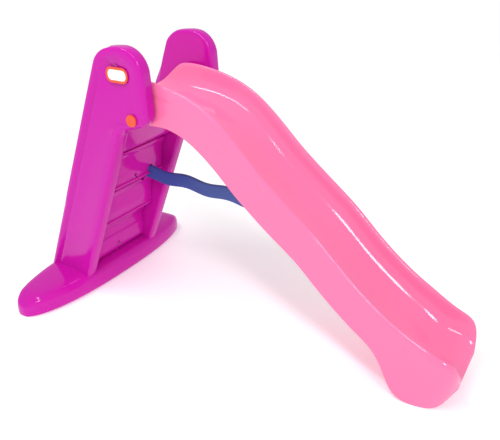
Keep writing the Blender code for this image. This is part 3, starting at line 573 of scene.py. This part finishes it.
# ---------------------------------------------------------------- chute
# Sections from the entrance to the nose: rim point, lower edge point, the bed's depth below the
# rim, the bed's thickness, and how much narrower the half width is.
CHUTE_SECTIONS = [
    ((0.226, 0.832), (0.240, 0.788), 0.006, 0.022, 0.0),
    ((0.262, 0.852), (0.266, 0.778), 0.028, 0.022, 0.0),
    ((0.318, 0.903), (0.320, 0.772), 0.080, 0.022, 0.0),
    ((0.356, 0.925), (0.358, 0.770), 0.102, 0.022, 0.0),
    ((0.430, 0.926), (0.425, 0.770), 0.104, 0.022, 0.0),
    ((0.530, 0.911), (0.497, 0.773), 0.100, 0.022, 0.0),
    ((0.620, 0.883), (0.563, 0.755), 0.095, 0.022, 0.0),
    ((0.700, 0.837), (0.622, 0.723), 0.090, 0.022, 0.0),
    ((0.786, 0.761), (0.698, 0.663), 0.088, 0.022, 0.0),
    ((0.867, 0.681), (0.777, 0.586), 0.088, 0.022, 0.0),
    ((0.984, 0.587), (0.907, 0.479), 0.088, 0.022, 0.0),
    ((1.092, 0.502), (1.010, 0.405), 0.088, 0.022, 0.0),
    ((1.190, 0.408), (1.108, 0.312), 0.088, 0.022, 0.0),
    ((1.283, 0.332), (1.212, 0.225), 0.088, 0.022, 0.0),
    ((1.360, 0.281), (1.290, 0.170), 0.090, 0.026, 0.0),
    ((1.435, 0.243), (1.335, 0.106), 0.095, 0.050, 0.0),
    ((1.490, 0.221), (1.375, 0.026), 0.108, 0.110, 0.0),
    ((1.534, 0.206), (1.430, 0.000), 0.108, 0.120, 0.001),
    ((1.561, 0.183), (1.490, 0.000), 0.090, 0.104, 0.010),
    ((1.573, 0.140), (1.530, 0.010), 0.056, 0.071, 0.030),
    ((1.577, 0.086), (1.556, 0.044), 0.006, 0.035, 0.058),
]
# Lengthwise lines of the chute's top: how far in from the outer wall, and share of the bed's depth.
TOP_LANES = [(0.0, 0.0), (0.006, 0.0), (0.013, 0.0), (0.019, 0.01), (0.024, 0.10), (0.0275, 0.27),
             (0.032, 0.44), (0.040, 0.61), (0.053, 0.77), (0.071, 0.89), (0.094, 0.97), (0.122, 1.0)]
# Radius of the rim's outer edge at places along the chute: broad at the crest and at the heel.
SHOULDERS = [(0.25, 0.022), (0.62, 0.024), (0.88, 0.009), (1.37, 0.009), (1.52, 0.042), (1.60, 0.042)]
POST_FROM = 1.49  # the side walls grow thicker between these places, and close the channel's end
POST_TO = 1.575
POST_SPREAD = 1.9
RAIL_INSIDE = 0.040  # the underside's recess starts this far in
RAIL_TOP = 0.019  # the flat top of a side rail ends this far in
# Lengthwise lines down the outer wall: distance below the rim's shoulder, and how far out.
WALL_LINES = [(0.017, 0.0006), (0.024, -0.0016), (0.034, 0.0008), (0.062, 0.0022)]


def section_at(place):
    """A section between the listed ones, on a smooth curve through them."""
    last = len(CHUTE_SECTIONS) - 1
    index = min(int(place), last - 1)
    t = place - index
    picked = [CHUTE_SECTIONS[max(0, min(last, index + k))] for k in (-1, 0, 1, 2)]
    flat = [[*rim, *low, depth, thick, narrow] for rim, low, depth, thick, narrow in picked]
    v = []
    for a, b, c, d in zip(*flat):
        v.append(0.5 * (2 * b + (c - a) * t + (2 * a - 5 * b + 4 * c - d) * t * t
                        + (3 * b - a - 3 * c + d) * t**3))
    return at(v[0], v[1]), at(v[2], max(v[3], 0)), v[4], v[5], max(v[6], 0)


def chute_form():
    sections = [section_at(half / 2) for half in range(2 * len(CHUTE_SECTIONS) - 1)]
    piece = start("plane", "chute_shell", size=0.1)
    rim, low = sections[0][:2]
    for index, (sign, point) in enumerate(((-1, low), (1, low), (-1, rim), (1, rim))):
        send(index, (point.x, sign * HALF_CHUTE, point.z))
    bpy.ops.mesh.select_all(action="SELECT")
    for (rim, low, *_), (next_rim, next_low, *_) in zip(sections, sections[1:]):
        bpy.ops.mesh.select_mode(type="VERT")
        extrude(next_low - low)
        drawn = [vertex.index for vertex in open_mesh().verts if vertex.select]
        mesh = open_mesh()
        mesh.verts.ensure_lookup_table()
        upper = [index for index in drawn if (mesh.verts[index].co - next_low).length > HALF_CHUTE + 1e-4]
        pick("VERT", lambda vertex: vertex.index in upper)
        move((next_rim - next_low) - (rim - low))
        pick("VERT", lambda vertex: vertex.index in drawn)
    pick("EDGE", lambda edge: abs(edge.verts[0].co.y - edge.verts[1].co.y) < 1e-6
         and joins_section(edge, sections))
    bpy.ops.mesh.subdivide(number_cuts=len(WALL_LINES) + 1)
    for lane, _ in TOP_LANES[1:] + [(HALF_CHUTE, 1.0)]:
        slice_at({HALF_CHUTE - lane, lane - HALF_CHUTE}, ACROSS)
    shape_sections(sections)
    smooth_form(piece)
    return piece


def along_section(point, section):
    """Distance off a section's rim-to-low line, and the share of the way up it."""
    rim, low = section[:2]
    line = rim - low
    flat = Vector((point.x, 0, point.z))
    share = (flat - low).dot(line) / line.length_squared
    return (flat - (low + line * share)).length, share


def joins_section(edge, sections):
    one, two = (vertex.co for vertex in edge.verts)
    return any(along_section(one, s)[0] < 1e-5 and along_section(two, s)[0] < 1e-5 for s in sections)


def between(table, place):
    """A value read off a table of places, with a soft step from one to the next."""
    for (start_place, first), (end_place, second) in zip(table, table[1:]):
        if place <= end_place:
            share = max(0.0, (place - start_place) / (end_place - start_place))
            return first + (second - first) * share * share * (3 - 2 * share)
    return table[-1][1]


def bed_share(inward, rim_place):
    """Share of the bed's depth at a distance in from the wall."""
    spread = between([(POST_FROM, 1.0), (POST_TO, POST_SPREAD)], rim_place)
    if inward > RAIL_TOP:
        inward = RAIL_TOP + (inward - RAIL_TOP) / spread
    lanes = TOP_LANES + [(HALF_CHUTE, 1.0)]
    for (near_lane, first), (far_lane, second) in zip(lanes, lanes[1:]):
        if inward <= far_lane + 1e-6:
            return first + (second - first) * (inward - near_lane) / (far_lane - near_lane)
    return 1.0


def shoulder_drop(inward, radius):
    """How far the rounded outer edge lies below the rim, at a distance in from the wall."""
    if inward >= radius:
        return 0.0
    return radius - math.sqrt(radius**2 - (radius - inward) ** 2)


def shape_sections(sections):
    """Sinks the bed between the rails, hollows the underside and shapes the walls."""
    members = [[] for _ in sections]
    for vertex in open_mesh().verts:
        offs = [along_section(vertex.co, section) for section in sections]
        nearest = min(range(len(sections)),
                      key=lambda i: offs[i][0] + 10 * max(0, -offs[i][1], offs[i][1] - 1))
        inward = round(HALF_CHUTE - abs(vertex.co.y), 5)
        members[nearest].append((vertex.index, inward, offs[nearest][1], vertex.co.copy()))
    cuts = len(WALL_LINES) + 2
    for section, group in zip(sections, members):
        rim, low, depth, thick, narrow = section
        up = (rim - low).normalized()
        height = (rim - low).length
        recess = max(height - depth - thick, 0.0)
        radius = min(between(SHOULDERS, rim.x - SHIFT), height * 0.45)
        slim = 1 - narrow / HALF_CHUTE
        for index, inward, share, place in group:
            place = place.copy()
            if inward < 1e-4 and 0.001 < share < 0.999:
                line = round((1 - share) * cuts) - 1
                if line < len(WALL_LINES):
                    below, out = WALL_LINES[line]
                    fade = min(1.0, height / 0.12)
                    place = rim - up * (radius + below * fade)
                    place.y = HALF_CHUTE + out * fade
                else:
                    place = low + up * 0.02 * min(1.0, height / 0.12)
                    place.y = HALF_CHUTE
                if group_side(group, index) < 0:
                    place.y = -place.y
            elif share > 0.999:
                sunk = depth * bed_share(inward, rim.x - SHIFT)
                place -= up * max(sunk, shoulder_drop(inward, radius))
            elif share < 0.001 and inward > RAIL_INSIDE:
                place += up * recess * min(1.0, (inward - RAIL_INSIDE) / 0.016 + 0.3)
            place.y *= slim
            send(index, place)


def group_side(group, index):
    return next(math.copysign(1, place.y) for member, _, _, place in group if member == index)


settle(chute_form(), PINK, "chute", "pink_plastic", "chute")

# ---------------------------------------------------------------- head riser
def head_riser():
    low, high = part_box("head_riser")
    nose, foot, top = low.x - 0.0004, low.z, high.z
    corners = [(nose + 0.009, top), (nose, foot), (nose + 0.016, foot), (nose + 0.058, foot + 0.0286),
               (nose + 0.1085, foot + 0.1246), (nose + 0.1005, top)]
    piece = outline("head_riser_shell", corners, -STEP_ENDS)
    for (x, z), length in ((corners[0], 0.010), (corners[3], 0.008), (corners[4], 0.012),
                           (corners[5], 0.008)):
        round_corner(x, z, length, 3)
    split_long_edges(0.035)
    extrude_all((0, 2 * STEP_ENDS, 0))
    slice_at(STEP_CUTS, ACROSS)
    smooth_form(piece)
    return settle(piece, PURPLE, "ladder", "purple_plastic", "head_riser")


head_riser()

# ---------------------------------------------------------------- brace bar
BRACE_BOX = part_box("brace_bar")
BRACE_HALF = SWING.x - BRACE_BOX[0].x
BRACE_WAVE = 0.0055
BRACE_WAVELENGTH = 0.20
BRACE_FALL = 0.0243
HOOK_LENGTH = 0.016
HOOK_HEIGHT = 0.012
SEAT_LEVEL = 0.4804  # the catch pin rests on the bar here
BRACE_EDGE = 0.0028


def brace_stations():
    """Pairs of upper and lower points along the bar, from its round eye to its hook."""
    reach = BRACE_BOX[1].x - SWING.x
    seat = reach - HOOK_LENGTH - 0.030
    pairs = []
    for turn in (12, 30, 50, 70):
        x = -BRACE_HALF * math.cos(math.radians(turn))
        half = BRACE_HALF * math.sin(math.radians(turn))
        pairs.append((x, half, -half))
    for i in range(31):
        along = seat * i / 30
        centre = BRACE_WAVE * (math.cos(2 * math.pi * along / BRACE_WAVELENGTH) - 1)
        centre -= BRACE_FALL * along / reach
        blend = max(0.0, 1 - (seat - along) / 0.06)
        upper = (centre + BRACE_HALF) * (1 - blend) + (SEAT_LEVEL - SWING.z) * blend
        pairs.append((along, upper, centre - BRACE_HALF))
    low = pairs[-1][2]
    level = SEAT_LEVEL - SWING.z
    hook = level + HOOK_HEIGHT
    pairs += [(reach - HOOK_LENGTH - 0.001, level, low), (reach - HOOK_LENGTH, hook, low)]
    pairs += [(reach - 0.008, hook, low + 0.003), (reach, hook - 0.006, low + 0.012)]
    return [(SWING + Vector((x, 0, high)), SWING + Vector((x, 0, low))) for x, high, low in pairs]


def brace_bar():
    stations = brace_stations()
    piece = start("plane", "brace_bar_moulding", size=0.1)
    thin, thick = BRACE_BOX[0].y, BRACE_BOX[1].y
    high, low = stations[0]
    for index, (y, point) in enumerate(((thin, low), (thick, low), (thin, high), (thick, high))):
        send(index, (point.x, y, point.z))
    bpy.ops.mesh.select_all(action="SELECT")
    for (high, low), (next_high, next_low) in zip(stations, stations[1:]):
        bpy.ops.mesh.select_mode(type="VERT")
        extrude((next_high.x - high.x, 0, 0))
        drawn = [vertex.index for vertex in open_mesh().verts if vertex.select]
        mesh = open_mesh()
        middle = sum(vertex.co.z for vertex in mesh.verts if vertex.select) / 4
        upper = {vertex.index for vertex in mesh.verts if vertex.select and vertex.co.z > middle}
        pick("VERT", lambda vertex: vertex.index in upper)
        move((0, 0, next_high.z - high.z))
        pick("VERT", lambda vertex: vertex.index in drawn and vertex.index not in upper)
        move((0, 0, next_low.z - low.z))
        pick("VERT", lambda vertex: vertex.index in drawn)
    bpy.ops.mesh.select_all(action="SELECT")
    bpy.ops.mesh.normals_make_consistent(inside=False)
    modify(piece, "BEVEL", width=BRACE_EDGE, segments=3, limit_method="ANGLE",
           angle_limit=math.radians(50))
    return settle(piece, BLUE, "brace", "blue_plastic", "brace_bar", angle=30)


brace_bar()

# ---------------------------------------------------------------- pivot heads
HEAD_PROUD = 0.009
HEAD_RADIUS = 0.021
SHANK_RADIUS = 0.008
# The dish in each head: how far in each ring is from the last, and how much deeper.
DISH_RINGS = [(0.0035, 0.0), (0.003, 0.0006), (0.004, 0.0006), (0.004, 0.0004), (0.004, 0.0002)]


def pivot_head(side, sign):
    node = f"pivot_pin_{side}"
    low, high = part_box(node)
    outer, inner = (high.y, low.y) if sign > 0 else (low.y, high.y)
    base_y = outer - sign * HEAD_PROUD
    middle = Vector((PIVOT.x, (outer + base_y) / 2, PIVOT.z))
    piece = start("cylinder", f"pivot_head_{side}", vertices=48, radius=HEAD_RADIUS, depth=HEAD_PROUD,
                  location=middle, rotation=(math.radians(90), 0, 0))
    pick("FACE", lambda face: len(face.verts) > 8 and abs(facing_y(piece, face) - base_y) < 1e-5)
    bpy.ops.mesh.inset(thickness=HEAD_RADIUS - SHANK_RADIUS)
    extrude((0, inner - base_y, 0))
    pick("FACE", lambda face: len(face.verts) > 8 and abs(facing_y(piece, face) - outer) < 1e-5)
    for width, deeper in DISH_RINGS:
        bpy.ops.mesh.inset(thickness=width)
        move((0, -sign * deeper, 0))
    modify(piece, "BEVEL", width=0.0030, segments=5, limit_method="ANGLE", angle_limit=math.radians(60))
    return settle(piece, ORANGE, "ladder", "orange_plastic", node)


def facing_y(piece, face):
    return (piece.matrix_world @ face.calc_center_median()).y


for side, sign in SIDES.items():
    pivot_head(side, sign)

# ---------------------------------------------------------------- badges
BADGE_RING = 0.0075
BADGE_CORNER = 0.0235


def badge(side, sign):
    """A blank white label inside an orange ring."""
    low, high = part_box(f"badge_{side}")
    inner, outer = (low.y, high.y) if sign > 0 else (high.y, low.y)
    corners = [(low.x, low.z), (low.x, high.z), (high.x, high.z), (high.x, low.z)]
    label = outline(f"badge_label_{side}", corners, inner)
    for x, z in corners:
        round_corner(x, z, BADGE_CORNER, 10)
    extrude_all((0, outer - inner, 0))
    pick("FACE", lambda face: len(face.verts) > 8 and abs(face.calc_center_median().y - outer) < 1e-6)
    bpy.ops.mesh.inset(thickness=0.0004)
    bpy.ops.mesh.inset(thickness=BADGE_RING)
    bpy.ops.mesh.inset(thickness=0.0006)
    move((0, -sign * 0.0005, 0))
    settle(label, ORANGE, "ladder", "orange_plastic", f"badge_{side}", angle=30)
    film = outline(f"badge_film_{side}", corners, outer - sign * 0.00035)
    for x, z in corners:
        round_corner(x, z, BADGE_CORNER, 10)
    bpy.ops.mesh.select_mode(type="FACE")
    bpy.ops.mesh.select_all(action="SELECT")
    bpy.ops.mesh.inset(thickness=BADGE_RING + 0.0009)
    bpy.ops.mesh.select_all(action="INVERT")
    bpy.ops.mesh.delete(type="FACE")
    extrude_all((0, -sign * 0.0001, 0))
    settle(film, WHITE, "ladder", "badge_white", angle=30)


for side, sign in SIDES.items():
    badge(side, sign)

# ---------------------------------------------------------------- screws through the lips
SCREW_HEAD = 0.006
SCREW_SHANK = 0.0025
SCREW_LENGTH = 0.085
SCREW_TOP = 0.0035
SCREW_POINT = 0.004


def pan_screw(node, mouth, heading):
    seat = mouth + heading * SINK
    turn = (-heading).to_track_quat("Z", "Y").to_euler()
    piece = start("cylinder", f"{node}_steel", vertices=40, radius=SCREW_HEAD, depth=SCREW_TOP,
                  location=seat - heading * SCREW_TOP / 2, rotation=turn)
    pick("FACE", lambda face: len(face.verts) > 8 and face.calc_center_median().z < 0)
    bpy.ops.mesh.inset(thickness=SCREW_HEAD - SCREW_SHANK)
    extrude(heading * (SCREW_LENGTH - SCREW_POINT))
    extrude(heading * SCREW_POINT)
    grow((0.15, 0.15, 0.15), seat + heading * SCREW_LENGTH)
    modify(piece, "BEVEL", width=0.0014, segments=4, limit_method="ANGLE", angle_limit=math.radians(60))
    for angle in (0, 90):
        blade = start("cube", "recess_blade", size=1, location=seat - heading * SCREW_TOP, rotation=turn)
        bpy.ops.object.mode_set(mode="OBJECT")
        blade.scale = (0.0055, 0.0011, 0.0036) if angle == 0 else (0.0011, 0.0055, 0.0036)
        cut(piece, blade)
    return settle(piece, STEEL, "ladder", "zinc_steel", node, angle=30)


for node, (mouth, heading) in LIP_SCREWS.items():
    pan_screw(f"{node}_screw", mouth, heading)

# ---------------------------------------------------------------- carried-over nodes
FINISHES = {"purple_plastic": PURPLE, "pink_plastic": PINK, "blue_plastic": BLUE,
            "orange_plastic": ORANGE, "badge_white": WHITE, "zinc_steel": STEEL, "nylon_white": NYLON}

for name, node in frame["nodes"].items():
    if node.hide_render:
        continue
    slot = next(part["material_slot"] for part in frame["record"]["subparts"] if part["node"] == name)
    node.data.materials.clear()
    node.data.materials.append(FINISHES[slot])

# ---------------------------------------------------------------- studio
WORLD_STRENGTH = 0.64
PAPER_GLOW = 0.22
AZIMUTH = math.radians(31.35)
ELEVATION = math.radians(26.92)
CAMERA_PLACE = (1.071, -1.691, 1.412)
LENS = 43.44
SHIFT_X = -0.0042
SHIFT_Y = 0.0077


def camera():
    data = bpy.data.cameras.new("camera")
    data.lens = LENS
    data.sensor_width = 36
    data.shift_x = SHIFT_X
    data.shift_y = SHIFT_Y
    data.clip_end = 60
    made = bpy.data.objects.new("camera", data)
    back = Vector((math.sin(AZIMUTH) * math.cos(ELEVATION), -math.cos(AZIMUTH) * math.cos(ELEVATION),
                   math.sin(ELEVATION)))
    made.location = CAMERA_PLACE
    made.rotation_mode = "QUATERNION"
    made.rotation_quaternion = (-back).to_track_quat("-Z", "Y")
    bpy.context.scene.collection.objects.link(made)
    bpy.context.scene.camera = made


def softbox(name, place, target, size, power):
    data = bpy.data.lights.new(name, "AREA")
    data.shape = "RECTANGLE"
    data.size, data.size_y = size
    data.energy = power
    made = bpy.data.objects.new(name, data)
    made.location = place
    made.rotation_mode = "QUATERNION"
    made.rotation_quaternion = (Vector(target) - Vector(place)).to_track_quat("-Z", "Y")
    bpy.context.scene.collection.objects.link(made)


def key_light(heading, width, strength):
    """A round studio lamp far away, seen as a disc of this many degrees."""
    data = bpy.data.lights.new("key", "SUN")
    data.energy = strength
    data.angle = math.radians(width)
    made = bpy.data.objects.new("key", data)
    made.rotation_mode = "QUATERNION"
    made.rotation_quaternion = (-Vector(heading)).to_track_quat("-Z", "Y")
    bpy.context.scene.collection.objects.link(made)


def floor():
    bpy.ops.object.select_all(action="DESELECT")
    bpy.ops.mesh.primitive_plane_add(size=60, location=(0, 0, -0.0005))
    made = bpy.context.active_object
    made.name = "floor"
    recipe = Recipe("studio_paper")
    where = recipe.place()
    tone = recipe.mix(recipe.noise(where, 4.0), colour((0.975,) * 3), colour((0.985,) * 3))
    recipe.set(Base_Color=tone, Roughness=0.9, Specular_IOR_Level=0.1, Emission_Strength=PAPER_GLOW)
    recipe.shader.inputs["Emission Color"].default_value = (1.0, 1.0, 1.0, 1.0)
    made.data.materials.append(recipe.material)


floor()
camera()
world = bpy.data.worlds.new("studio")
world.use_nodes = True
world.node_tree.nodes["Background"].inputs["Color"].default_value = (1.0, 1.0, 1.0, 1.0)
world.node_tree.nodes["Background"].inputs["Strength"].default_value = WORLD_STRENGTH
bpy.context.scene.world = world
key_light((0.594, -0.547, 0.582), 13, 0.85)
softbox("side", (4.4, 2.4, 1.1), (0.6, 0, 0.3), (2.6, 2.2), 4)
softbox("overhead", (-0.6, -1.3, 3.3), (0, 0, 0.6), (2.8, 0.26), 40)
softbox("fill", (0.9, -4.2, 1.5), (0.2, 0, 0.4), (3.0, 2.0), 6)
bpy.context.scene.view_settings.view_transform = "Standard"
